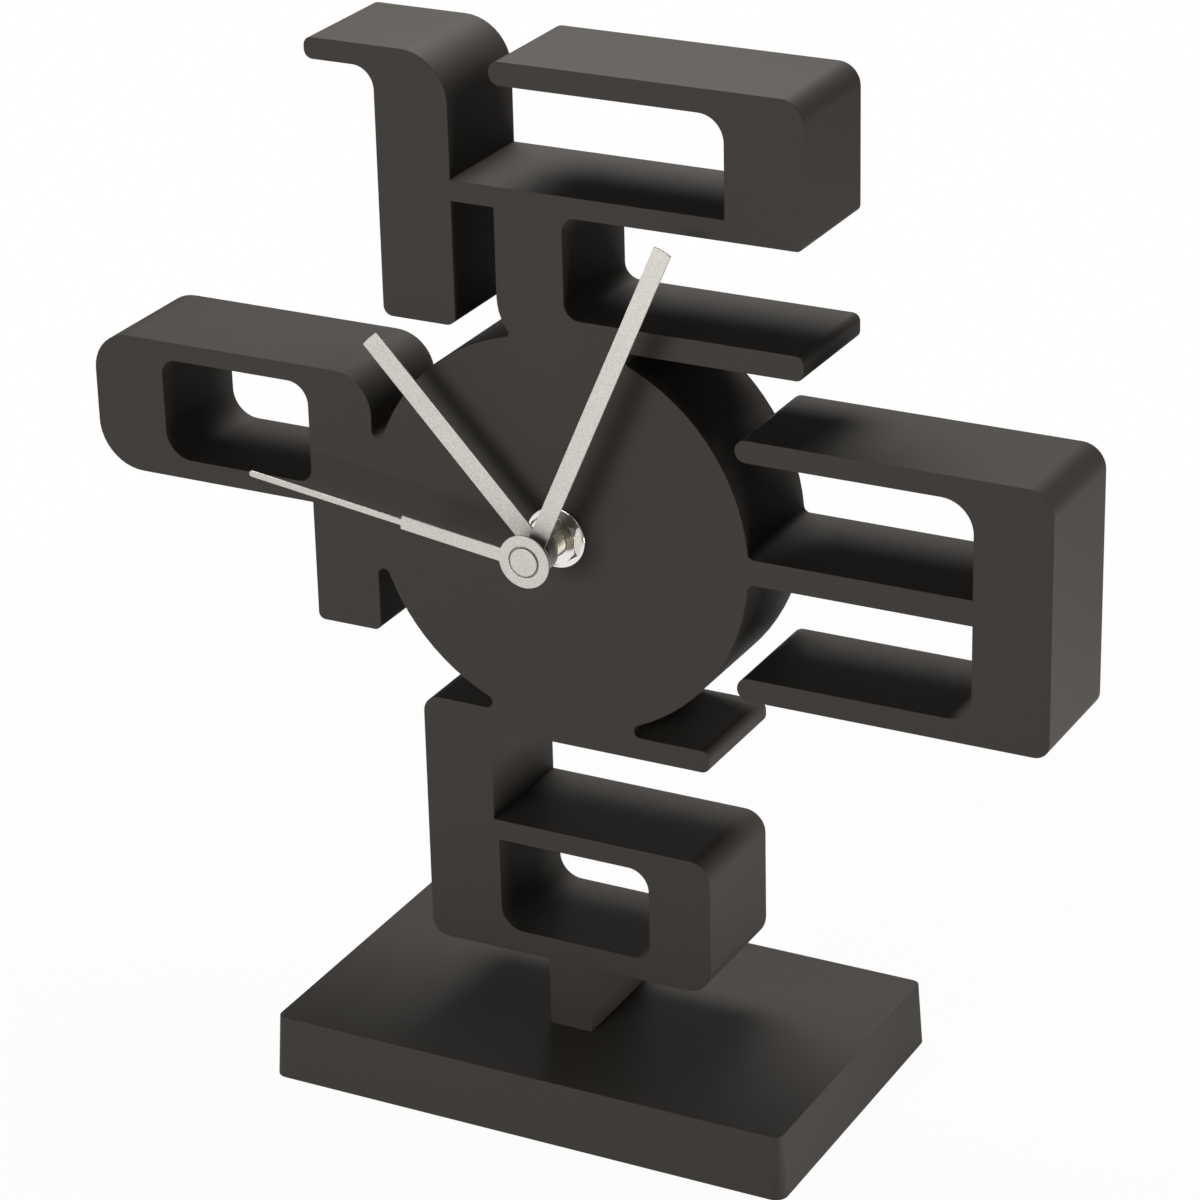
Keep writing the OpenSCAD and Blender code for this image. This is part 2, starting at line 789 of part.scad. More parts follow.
module threaded_bush() {
    color([0.78, 0.65, 0.38])
        difference() {
            union() {
                rod([0, 0], bush_radius, bush_y, floor_y);
                rod([0, 0], bush_radius + 1.6, case_y - 0.4, case_y);
            }
            rod([0, 0], bush_bore, bush_y - 1, floor_y + 1);
        }
}

// Square outline of the movement, grown or shrunk by the given amount
module case_2d(in) {
    h = case_side / 2 - in;
    r = case_corner - in;
    panel(-h, -h, h, h, r, r, r, r);
}

module movement_case() {
    color([0.1, 0.1, 0.1])
        difference() {
            union() {
                difference() {
                    slab(case_y, case_back)
                        case_2d(0);
                    slab(floor_y, case_back + 1)
                        case_2d(case_wall);
                }
                block(-inner - 0.5, inner + 0.5, floor_y - 0.5, case_back, bay_top,
                    bay_top + rib_thick);
                for (p = posts) {
                    rod(p, post_radius, floor_y - 0.5, layer(3));
                    rod(p, post_pin, layer(3) - 0.5, case_back);
                }
            }
            rod([0, 0], bush_radius + press, case_y - 1, floor_y + 1);
            rod(third_at, pivot_radius + bearing_play, floor_y - 1, floor_y + 1);
            rod(minute_at, 2 * pivot_radius + bearing_play, floor_y - 1, floor_y + 1);
            for (p = posts)
                rod(p, cover_screw_radius + press, case_back - cover_screw_length - end_shake,
                    case_back + 1);
            block(-inner, -inner + 3, board_y - 2, case_back + 1, bay_top - 1,
                bay_top + rib_thick + 1);
            block(inner - 3, inner, board_y - 2, case_back + 1, bay_top - 1,
                bay_top + rib_thick + 1);
        }
}

module movement_cover() {
    color([0.13, 0.13, 0.13])
        difference() {
            union() {
                slab(case_back, cover_back)
                    case_2d(0);
                for (at = [[0, 0], third_at, step_at, rotor_at])
                    rod(at, 1.4, boss_y, case_back + 0.3);
            }
            slab(case_back - 1, cover_back + 1)
                plate(-inner + 0.2, -inner, inner - 0.2, bay_top);
            for (at = [[0, 0], third_at, step_at, rotor_at])
                rod(at, pivot_radius + bearing_play, boss_y - 1, boss_y + pivot_length + 0.3);
            rod(minute_at, stem_radius + bearing_play, case_back - 1, cover_back + 1);
            for (p = posts)
                rod(p, cover_screw_radius + 2 * bearing_play, case_back - 1, cover_back + 1);
            rod(minute_at, knob_radius + 0.8, cover_back - 0.4, cover_back + 1);
        }
}

module cover_screws() {
    arm = cover_screw_head * 2 / 3;
    slit = cover_screw_head / 9;
    color([0.6, 0.6, 0.6])
        for (p = posts)
            difference() {
                union() {
                    rod(p, cover_screw_radius, case_back - cover_screw_length,
                        cover_back + cover_screw_top / 2);
                    rod(p, cover_screw_head, cover_back, cover_back + cover_screw_top);
                }
                for (a = [[arm, slit], [slit, arm]])
                    block(p[0] - a[0], p[0] + a[0], cover_back + cover_screw_top / 2,
                        cover_back + cover_screw_top + 1, p[1] - a[1], p[1] + a[1]);
            }
}

module middle_plate() {
    y0 = layer(3);
    y1 = y0 + plate_thick;
    color([0.85, 0.85, 0.82])
        difference() {
            union() {
                slab(y0, y1)
                    panel(-inner + 0.1, bay_top + rib_thick + 0.1, inner - 0.1, inner - 0.1,
                        1.6, 1.6, 0, 0);
                rod(posts[0], post_pin + 0.9, y0 + 0.3, board_y);
                rod([board_right - 2.2, board_low + 2.4], 1.2, y0 + 0.3, board_y);
                for (x = [coil_x - leg_in - leg / 2, coil_x + leg_in + leg / 2])
                    rod([x, coil_z - 5.6], 1.2, y0 + 0.3, stator_y);
            }
            for (p = posts)
                rod(p, post_pin + bearing_play, y0 - 1, board_y + 1);
            rod([0, 0], shaft_radius + bearing_play, y0 - 1, y1 + 1);
            rod(third_at, shaft_radius + 0.3, y0 - 1, y1 + 1);
            rod(minute_at, stem_radius + bearing_play, y0 - 1, y1 + 1);
            rod(step_at, pivot_radius + bearing_play, y0 - 1, y1 + 1);
            rod(rotor_at, pivot_radius + bearing_play, y0 - 1, y1 + 1);
        }
}

module circuit_board() {
    color([0.1, 0.35, 0.2])
        difference() {
            slab(board_y, board_y + board_thick)
                plate(board_left, board_low, board_right, board_top);
            rod(posts[0], post_pin + 0.2, board_y - 1, board_y + 2);
        }
}

module chip_blob() {
    rise = 1;
    r = 3.6;
    color([0.05, 0.05, 0.05])
        intersection() {
            translate([board_right - 8, board_y + board_thick + rise - r, axis_z + board_low + 5])
                sphere(r);
            rod([board_right - 8, board_low + 5], r, board_y + board_thick,
                board_y + board_thick + rise + 1);
        }
}

module quartz_crystal() {
    r = 1;
    color([0.75, 0.75, 0.75])
        rod_x(board_y - r, board_low + 1.6, r, board_right - 13, board_right - 7);
}

// Coil on its bobbin, on the core that bridges the two legs of the stator
module coil_core() {
    color([0.5, 0.5, 0.52])
        block(coil_x - leg_in - leg, coil_x + leg_in + leg, stator_y + stator_thick,
            stator_y + 2 * stator_thick, coil_z - 2, coil_z + 2);
}

module coil_bobbin() {
    hx = coil_length / 2;
    hy = flange_height / 2 - 1.25;
    color([0.75, 0.3, 0.2])
        difference() {
            union() {
                block(coil_x - hx - 0.5, coil_x + hx + 0.5, coil_y - 0.9, coil_y + 0.9,
                    coil_z - 2.5, coil_z + 2.5);
                for (x = [coil_x - hx - 0.8, coil_x + hx])
                    block(x, x + 0.8, coil_y - hy, coil_y + hy, coil_z - flange_height / 2,
                        coil_z + flange_height / 2);
            }
            block(coil_x - hx - 2, coil_x + hx + 2, coil_y - stator_thick / 2 - 0.05,
                coil_y + stator_thick / 2 + 0.05, coil_z - 2.05, coil_z + 2.05);
        }
}

module coil_winding() {
    hx = coil_length / 2 - 0.02;
    hy = flange_height / 2 - 1.5;
    hz = flange_height / 2 - 0.4;
    color([0.7, 0.35, 0.15])
        translate([coil_x - hx, 0, axis_z])
            rotate([90, 0, 90])
                linear_extrude(2 * hx)
                    difference() {
                        panel(coil_y - hy, coil_z - hz, coil_y + hy, coil_z + hz, 1, 1, 1, 1);
                        plate(coil_y - 0.92, coil_z - 2.52, coil_y + 0.92, coil_z + 2.52);
                    }
}

module stator() {
    bore = magnet_radius + air_gap;
    out = bore + 1.6;
    x0 = coil_x - leg_in - leg;
    x1 = coil_x + leg_in + leg;
    color([0.55, 0.55, 0.57])
        slab(stator_y, stator_y + stator_thick)
            difference() {
                union() {
                    translate(rotor_at)
                        circle(out);
                    plate(x0, rotor_at[1] + 1.4, rotor_at[0], rotor_at[1] + out);
                    plate(x0, rotor_at[1] + 1.4, x0 + leg, coil_z + 2);
                    plate(rotor_at[0], rotor_at[1] - 1.6, x1, rotor_at[1] + 1.9);
                    plate(x1 - leg, rotor_at[1] - 1.6, x1, coil_z + 2);
                }
                translate(rotor_at)
                    circle(bore);
                for (a = [-20, 160])
                    translate(rotor_at + bore * [cos(a), sin(a)])
                        circle(0.45);
            }
}

// End plate for the nub, with a strip along the wall to the circuit board
module contact_positive() {
    x0 = inner - contact_thick;
    y0 = case_back - 1.2;
    y1 = case_back - 0.2;
    color([0.8, 0.78, 0.7])
        union() {
            block(x0, inner, cell_y - 4, y1, cell_z - 4, cell_z + 4);
            block(x0, inner, y0, y1, cell_z, coil_z - 1);
            block(board_right - 3, inner, y1 - contact_thick, y1, coil_z - 3, coil_z - 1);
            block(board_right - 3, board_right - 1, board_y + board_thick, y1, coil_z - 3,
                coil_z - 1);
        }
}

// Bowed leaf against the flat end of the cell, with a strip up the wall to the board
module contact_negative() {
    bow = cell_left + inner - contact_gap;
    half = 4.8;
    r = (bow * bow + half * half) / (2 * bow);
    foot = 0.8;
    t = contact_thick;
    y0 = case_back - 1.2;
    y1 = case_back - 0.2;
    color([0.8, 0.78, 0.7])
        union() {
            slab(cell_y - 3, cell_y + 3)
                difference() {
                    intersection() {
                        translate([-inner + bow - r, cell_z])
                            circle(r);
                        plate(-inner, cell_z - half - 1, 0, cell_z + half + 1);
                    }
                    translate([-inner + bow - r, cell_z])
                        circle(r - t);
                }
            block(-inner, -inner + t, cell_y - 3, cell_y + 3, cell_z - half - foot,
                cell_z - half + foot);
            block(-inner, -inner + t, cell_y - 3, y1, cell_z + half - foot,
                cell_z + half + foot);
            block(-inner, -inner + t, y0, y1, cell_z + half, board_low + 4);
            block(-inner, -inner + 2.4, board_y + board_thick, y0 + 0.4, board_low + 1,
                board_low + 4);
        }
}

// Outline of a toothed wheel: six points a tooth, wide at the root and narrow at the tip
function wheel_points(teeth, m, width, start) = [
    for (i = [0:teeth - 1])
        for (k = [[-1, 0], [-1, 1], [-1, 2], [1, 2], [1, 1], [1, 0]])
            let (
                pitch = m * teeth / 2,
                r = pitch + m * [-1.2, 0, 0.85][k[1]],
                half = PI * m * width * [0.66, 0.5, 0.24][k[1]],
                a = start + 360 * i / teeth + k[0] * half / r * 180 / PI
            )
            [r * cos(a), r * sin(a)]
];

module teeth(at, count, m, width, start, y0, y1) {
    slab(y0, y1)
        translate(at)
            polygon(wheel_points(count, m, width, start));
}

// Round lightening holes in a wheel's web
module wheel_holes(at, ring, r, count, y0, y1) {
    for (i = [0:count - 1])
        rod(at + ring * [cos(360 * i / count + 90), sin(360 * i / count + 90)], r, y0 - 1, y1 + 1);
}

wheel_width = 0.42;
leaf_width = 0.34;

module pinion(at, count, m, start, n) {
    teeth(at, count, m, leaf_width, start, layer(n) - pinion_over,
        layer(n) + wheel_thick + pinion_over);
}

module wheel(at, count, m, start, n) {
    teeth(at, count, m, wheel_width, start, layer(n), layer(n) + wheel_thick);
}

// Flat hand pointing at the given clockwise angle, with a slightly rounded tip
module hand(y, length, width, boss, bore, angle) {
    tip = (width * width / 4 + tip_rise * tip_rise) / (2 * tip_rise);
    slab(y, y + hand_thick)
        rotate(-angle)
            difference() {
                union() {
                    circle(boss);
                    plate(-width / 2, 0, width / 2, length);
                    intersection() {
                        plate(-width / 2, length - 1, width / 2, length + tip_rise + 1);
                        translate([0, length + tip_rise - tip])
                            circle(tip);
                    }
                }
                circle(bore);
            }
}

module hour_hand() {
    color([0.8, 0.78, 0.74])
        hand(hour_y, hour_length, hour_width, hour_boss, hour_pipe_radius + press, hour_angle);
}

module minute_hand() {
    color([0.8, 0.78, 0.74])
        hand(minute_y, minute_length, minute_width, minute_boss, minute_pipe_radius + press,
            minute_angle);
}

module second_hand() {
    color([0.82, 0.8, 0.76])
        slab(second_y, second_y + hand_thick)
            rotate(-second_angle)
                difference() {
                    union() {
                        circle(second_ring);
                        plate(-second_wide / 2, 0, second_wide / 2, second_step);
                        difference() {
                            plate(-second_thin / 2, 0, second_thin / 2, second_length);
                            web(-second_thin / 2, second_length, tip_corner, 1, -1);
                            web(second_thin / 2, second_length, tip_corner, -1, -1);
                        }
                    }
                    circle(cap_radius + cap_gap);
                }
}

// Round cap in the ring, its flange behind the ring and its tube on the arbor
module second_cap() {
    back = second_y + hand_thick;
    color([0.82, 0.8, 0.76])
        difference() {
            union() {
                rod([0, 0], cap_radius, second_y - cap_proud, back + 0.1);
                rod([0, 0], second_ring - 1, back, back + flange_thick);
                rod([0, 0], 1.2, back, minute_y - pipe_over - end_shake);
            }
            rod([0, 0], shaft_radius + press, back - 0.2, minute_y + 1);
        }
}

module second_arbor() {
    color([0.75, 0.75, 0.75])
        union() {
            rod([0, 0], shaft_radius, second_y + hand_thick - 0.2, boss_y - end_shake);
            rod([0, 0], pivot_radius, boss_y - 1, boss_y + pivot_length);
            pinion([0, 0], sec_pinion_teeth, m_third, 180 + 180 / sec_pinion_teeth, 4);
        }
}

module second_wheel() {
    color([0.9, 0.88, 0.8])
        difference() {
            union() {
                wheel([0, 0], second_teeth, m_second, 0, 5);
                rod([0, 0], 1.4, layer(5), layer(6));
            }
            rod([0, 0], shaft_radius + press, layer(5) - 1, layer(6) + 1);
            wheel_holes([0, 0], 3.7, 1.3, 5, layer(5), layer(5) + wheel_thick);
        }
}

module minute_pipe() {
    color([0.15, 0.15, 0.15])
        difference() {
            union() {
                rod([0, 0], minute_pipe_radius, minute_y - pipe_over, layer(2) + wheel_thick);
                pinion([0, 0], cannon_teeth, m_minute, 180 / cannon_teeth, 1);
            }
            rod([0, 0], minute_bore, minute_y - 2, layer(3));
        }
}

module centre_wheel() {
    color([0.9, 0.88, 0.8])
        difference() {
            wheel([0, 0], centre_teeth, m_centre, 0, 2);
            rod([0, 0], minute_pipe_radius + press, layer(2) - 1, layer(3));
            wheel_holes([0, 0], 4.5, 1.6, 5, layer(2), layer(2) + wheel_thick);
        }
}

module hour_wheel() {
    color([0.12, 0.12, 0.12])
        difference() {
            union() {
                wheel([0, 0], hour_teeth, m_hour, 0, 0);
                rod([0, 0], hour_pipe_radius, hour_y - pipe_over, layer(0) + wheel_thick);
            }
            rod([0, 0], hour_bore, hour_y - 2, layer(1));
            wheel_holes([0, 0], 5.2, 1.5, 6, layer(0), layer(0) + wheel_thick);
        }
}

// Minute wheel and its pinion on the setting stem
module minute_wheel() {
    color([0.9, 0.88, 0.8])
        difference() {
            union() {
                wheel(minute_at, minute_teeth, m_minute, 0, 1);
                pinion(minute_at, minute_pinion_teeth, m_hour, 180 + 180 / minute_pinion_teeth, 0);
                rod(minute_at, stem_radius, layer(0), cover_back + knob_gap + knob_height - 1);
                rod(minute_at, 2 * pivot_radius, floor_y - 0.8, layer(0));
            }
            wheel_holes(minute_at, 4.6, 1.5, 5, layer(1), layer(1) + wheel_thick);
        }
}

module setting_knob() {
    y0 = cover_back + knob_gap;
    ribs = 30;
    color([0.85, 0.85, 0.83])
        difference() {
            union() {
                slab(y0, y0 + knob_height)
                    translate(minute_at)
                        polygon([for (i = [0:2 * ribs - 1])
                            let (r = knob_radius - (i % 2) * 0.35, a = 180 * i / ribs)
                            [r * cos(a), r * sin(a)]]);
            }
            rod(minute_at, stem_radius + press, y0 - 1, y0 + knob_height - 1);
            rod(minute_at, knob_radius - 1.4, y0 + knob_height - 0.6, y0 + knob_height + 1);
        }
}

module third_wheel() {
    color([0.9, 0.88, 0.8])
        difference() {
            union() {
                wheel(third_at, third_teeth, m_third, 0, 4);
                pinion(third_at, third_pinion_teeth, m_centre, 180 / third_pinion_teeth, 2);
                rod(third_at, shaft_radius, layer(2) - run_gap / 2, boss_y - end_shake);
                rod(third_at, pivot_radius, floor_y - 0.8, layer(2));
                rod(third_at, pivot_radius, boss_y - 1, boss_y + pivot_length);
            }
            wheel_holes(third_at, 4.6, 1.6, 5, layer(4), layer(4) + wheel_thick);
        }
}

module step_wheel() {
    color([0.9, 0.88, 0.8])
        difference() {
            union() {
                wheel(step_at, step_teeth, m_step, 0, 6);
                pinion(step_at, step_pinion_teeth, m_second,
                    180 + step_dir + 180 / step_pinion_teeth, 5);
                rod(step_at, shaft_radius, layer(4), boss_y - end_shake);
                rod(step_at, pivot_radius, layer(3) + 0.1, boss_y + pivot_length);
            }
            wheel_holes(step_at, 3.5, 1.2, 5, layer(6), layer(6) + wheel_thick);
        }
}

module rotor_pinion() {
    color([0.9, 0.9, 0.9])
        union() {
            pinion(rotor_at, rotor_teeth, m_step, 180 + rotor_dir + 180 / rotor_teeth, 6);
            rod(rotor_at, shaft_radius, layer(4), boss_y - end_shake);
            rod(rotor_at, pivot_radius, layer(3) + 0.1, boss_y + pivot_length);
        }
}

module rotor_magnet() {
    y = stator_y + stator_thick / 2;
    color([0.3, 0.3, 0.32])
        difference() {
            rod(rotor_at, magnet_radius, y - magnet_height / 2, y + magnet_height / 2);
            rod(rotor_at, shaft_radius + press, y - magnet_height, y + magnet_height);
        }
}

// Bare cell with its nub, inside its printed jacket
module battery_cell() {
    r = cell_radius - jacket;
    color([0.75, 0.75, 0.75])
        union() {
            rod_x(cell_y, cell_z, r - press, cell_left, cell_right - 1.2);
            rod_x(cell_y, cell_z, 2.7, cell_right - 2, cell_right);
        }
}

jacket = 0.2;

module battery_jacket() {
    x0 = cell_left + 0.4;
    x1 = cell_right - 1.6;
    color([0.3, 0.3, 0.32])
        difference() {
            rod_x(cell_y, cell_z, cell_radius, x0, x1);
            rod_x(cell_y, cell_z, cell_radius - jacket, x0 - 1, x1 + 1);
        }
}

numeral_frame();
base_plate();
base_screws();
felt_pad();
gasket();
dial_washer();
hex_nut();
threaded_bush();
movement_case();
movement_cover();
cover_screws();
middle_plate();
circuit_board();
chip_blob();
quartz_crystal();
coil_bobbin();
coil_winding();
coil_core();
stator();
contact_positive();
contact_negative();
second_hand();
second_cap();
second_arbor();
second_wheel();
minute_hand();
minute_pipe();
centre_wheel();
hour_hand();
hour_wheel();
minute_wheel();
setting_knob();
third_wheel();
step_wheel();
rotor_magnet();
rotor_pinion();
battery_cell();
battery_jacket();
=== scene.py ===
"""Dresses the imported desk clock: camera, soft studio light, materials and rounded forms."""

import json
import math

import bpy
from mathutils import Matrix, Vector


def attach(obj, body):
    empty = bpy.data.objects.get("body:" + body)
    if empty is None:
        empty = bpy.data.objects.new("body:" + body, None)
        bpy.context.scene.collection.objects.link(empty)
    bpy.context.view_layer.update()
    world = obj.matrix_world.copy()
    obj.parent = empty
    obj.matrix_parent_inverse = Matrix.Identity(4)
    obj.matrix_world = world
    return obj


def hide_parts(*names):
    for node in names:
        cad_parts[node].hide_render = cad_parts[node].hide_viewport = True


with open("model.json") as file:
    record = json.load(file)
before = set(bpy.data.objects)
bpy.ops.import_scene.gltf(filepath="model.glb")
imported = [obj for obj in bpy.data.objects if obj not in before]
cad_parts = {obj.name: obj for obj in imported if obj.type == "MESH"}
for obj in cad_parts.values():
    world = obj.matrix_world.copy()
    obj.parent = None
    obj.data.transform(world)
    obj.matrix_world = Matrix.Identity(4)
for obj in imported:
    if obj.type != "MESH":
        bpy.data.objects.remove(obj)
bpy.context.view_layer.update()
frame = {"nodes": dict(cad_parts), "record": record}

NODES = frame["nodes"]
MM = 0.001

# Camera fitted to the photograph, in metres and degrees
CAMERA_AT = Vector((0.443785, -0.833316, 0.549461))
CAMERA_YAW = 27.8928
CAMERA_PITCH = 24.0939
CAMERA_ROLL = -1.41447
CAMERA_LENS = 128.49

# Ring of the second hand and head of its cap: radii of the solids and radii as photographed
RING_BORE_CAD = 4.25 * MM
RING_BORE = 4.0 * MM
CAP_HEAD_CAD = 3.9 * MM
CAP_HEAD = 3.55 * MM

# Share of plain white that glossy surfaces mirror behind the clock, where the set is darker
BACK_WHITE = 0.15

# Places from front to back between which the mirrored white falls to that share, in metres
MIRROR_FADE = (-0.06, 0.1)

# Strength of the studio's own light on the clock
STUDIO_GLOW = 0.02

# Side of the square white table top, its right edge, past which the studio is dark, and
# its middle from front to back, in metres
TABLE_SIDE = 4
TABLE_EDGE_X = 0.3
TABLE_MIDDLE_Y = 0.6

# Share of plain white that the camera sees in the table top beside the clock, and the
# distances from the clock between which it rises to plain white, in metres
FLOOR_WHITE_NEAR = 0.97
WHITE_FADE = (0.2, 0.42)

# Thread of the bush: crest radius, pitch and depth, its facets to a turn, and the chamfer
# at the bush's end
BUSH_RADIUS = 4.0 * MM
THREAD_PITCH = 1.25 * MM
THREAD_DEPTH = 0.5 * MM
THREAD_STEPS = 72
BUSH_CHAMFER = 0.3 * MM

# Widens the ridge of the thread until it takes nine tenths of the pitch
RIDGE_SPREAD = 0.8

# Width of one turn of the coil's wire
WIRE_TURN = 0.6 * MM

# Radii of the rounded edges: lacquered block and base, felt, turned and moulded pieces, small
# pieces, and the hands, which are cut from sheet
FRAME_EDGE = 0.5 * MM
BASE_EDGE = 0.55 * MM
FELT_EDGE = 0.3 * MM
TURNED_EDGE = 0.25 * MM
SMALL_EDGE = 0.12 * MM
SHEET_EDGE = 0.07 * MM

# Turns between faces: less than FLAT is one flat face, more than SHARP is rounded, and up to
# SMOOTH is shaded as one surface
FLAT = math.radians(0.4)
SHARP = math.radians(38)
SMOOTH = math.radians(40)

# Points nearer than this are one point
WELD = 0.002 * MM

# Room given when points are picked by their place
SLACK = 0.05 * MM


def camera_matrix():
    """Place and turn of the camera from its fitted angles."""
    yaw, pitch, roll = (math.radians(a) for a in (CAMERA_YAW, CAMERA_PITCH, CAMERA_ROLL))
    forward = Vector(
        (-math.sin(yaw) * math.cos(pitch), math.cos(yaw) * math.cos(pitch), -math.sin(pitch))
    )
    right = Vector((math.cos(yaw), math.sin(yaw), 0))
    up = right.cross(forward)
    side = right * math.cos(roll) + up * math.sin(roll)
    top = up * math.cos(roll) - right * math.sin(roll)
    return Matrix.Translation(CAMERA_AT) @ Matrix((side, top, -forward)).transposed().to_4x4()


def add_camera():
    data = bpy.data.cameras.new("photo_camera")
    data.lens = CAMERA_LENS
    data.sensor_width = 36
    data.clip_start = 0.05
    data.clip_end = 20
    camera = bpy.data.objects.new("photo_camera", data)
    bpy.context.scene.collection.objects.link(camera)
    camera.matrix_world = camera_matrix()
    bpy.context.scene.camera = camera


def add_area(name, at, aim, size, power):
    """A soft rectangular lamp at one place that points at another."""
    data = bpy.data.lights.new(name, "AREA")
    data.shape = "RECTANGLE"
    data.size, data.size_y = size
    data.energy = power
    light = bpy.data.objects.new(name, data)
    bpy.context.scene.collection.objects.link(light)
    light.location = at
    light.rotation_euler = (Vector(aim) - Vector(at)).to_track_quat("-Z", "Y").to_euler()


def add_light():
    """Plain white surroundings and four soft lamps."""
    world = bpy.data.worlds.new("studio")
    bpy.context.scene.world = world
    world.use_nodes = True
    tree = world.node_tree
    rays = tree.nodes.new("ShaderNodeLightPath")
    seen, mirrored, through = (
        Field(tree, rays.outputs[name])
        for name in ("Is Camera Ray", "Is Glossy Ray", "Is Transmission Ray")
    )
    white = (seen + through + mirrored * BACK_WHITE).math("MINIMUM", 1.0)
    feed(tree, tree.nodes["Background"].inputs["Strength"], white.math("MAXIMUM", STUDIO_GLOW))
    tree.nodes["Background"].inputs["Color"].default_value = (1, 1, 1, 1)
    dial = (0, 0, 0.15)
    add_area("overhead_box", (-0.1, 0.18, 0.72), aim=(0, 0, 0.12), size=(0.35, 0.35), power=5.0)
    add_area("back_box", (-0.25, 1.0, 0.12), aim=dial, size=(0.6, 0.1), power=1.6)
    add_area("front_box", (-0.2, -1.0, 0.3), aim=dial, size=(0.5, 0.5), power=6.4)
    add_area("side_box", (0.45, 0.03, 0.015), aim=(0.1, 0, 0.15), size=(0.22, 0.12), power=1.75)


def seen_white(paint, share, mirrored):
    """Shares of plain white that cameras and glass, and what mirrors them, see in a surface."""
    rays = paint.source("ShaderNodeLightPath", "Is Camera Ray")
    rays = rays + paint.source("ShaderNodeLightPath", "Is Transmission Ray")
    gloss = paint.source("ShaderNodeLightPath", "Is Glossy Ray")
    paint.glow((rays + gloss * mirrored).math("MINIMUM", 1.0) * share)


def add_floor():
    """White table top that keeps a faint shadow of the clock."""
    paint = Paint("floor_white", (0.45, 0.45, 0.445), 0.9)
    paint.fixed(Specular_IOR_Level=0.1)
    away = paint.place.through("ShaderNodeVectorMath", settings={"operation": "LENGTH"}, output=1)
    share = FLOOR_WHITE_NEAR + (1 - FLOOR_WHITE_NEAR) * away.step(*WHITE_FADE)
    depth = paint.place.through("ShaderNodeSeparateXYZ", output=1)
    seen_white(paint, share, 1 - (1 - BACK_WHITE) * depth.step(*MIRROR_FADE))
    middle = (TABLE_EDGE_X - TABLE_SIDE / 2, TABLE_MIDDLE_Y, 0)
    bpy.ops.mesh.primitive_plane_add(size=TABLE_SIDE, location=middle)
    floor = bpy.context.object
    floor.name = "floor"
    bpy.ops.object.transform_apply(location=True)
    floor.data.materials.append(paint.material)


class Field:
    """One socket of a material, so that shader maths reads as maths."""

    def __init__(self, tree, socket):
        self.tree = tree
        self.socket = socket

    def through(self, kind, slot=0, output=0, settings=None, **inputs):
        """Passes this field through any other node and returns that node's output."""
        node = self.tree.nodes.new(kind)
        for key, value in (settings or {}).items():
            setattr(node, key, value)
        feed(self.tree, node.inputs[slot], self)
        for key, value in inputs.items():
            feed(self.tree, node.inputs[key.replace("_", " ")], value)
        return Field(self.tree, node.outputs[output])

    def math(self, operation, other, swap=False):
        node = self.tree.nodes.new("ShaderNodeMath")
        node.operation = operation
        pair = (other, self) if swap else (self, other)
        for socket, value in zip(node.inputs, pair):
            feed(self.tree, socket, value)
        return Field(self.tree, node.outputs[0])

    def __add__(self, other):
        return self.math("ADD", other)

    __radd__ = __add__

    def __mul__(self, other):
        return self.math("MULTIPLY", other)

    __rmul__ = __mul__

    def __rsub__(self, other):
        return self.math("SUBTRACT", other, swap=True)

    def step(self, low, high):
        """Smooth ramp from 0 at low to 1 at high."""
        settings = {"interpolation_type": "SMOOTHSTEP"}
        return self.through(
            "ShaderNodeMapRange", settings=settings, From_Min=low, From_Max=high
        )


def feed(tree, socket, value):
    """Links a field to a socket, or sets the socket to a plain value."""
    if isinstance(value, Field):
        tree.links.new(value.socket, socket)
    else:
        socket.default_value = value


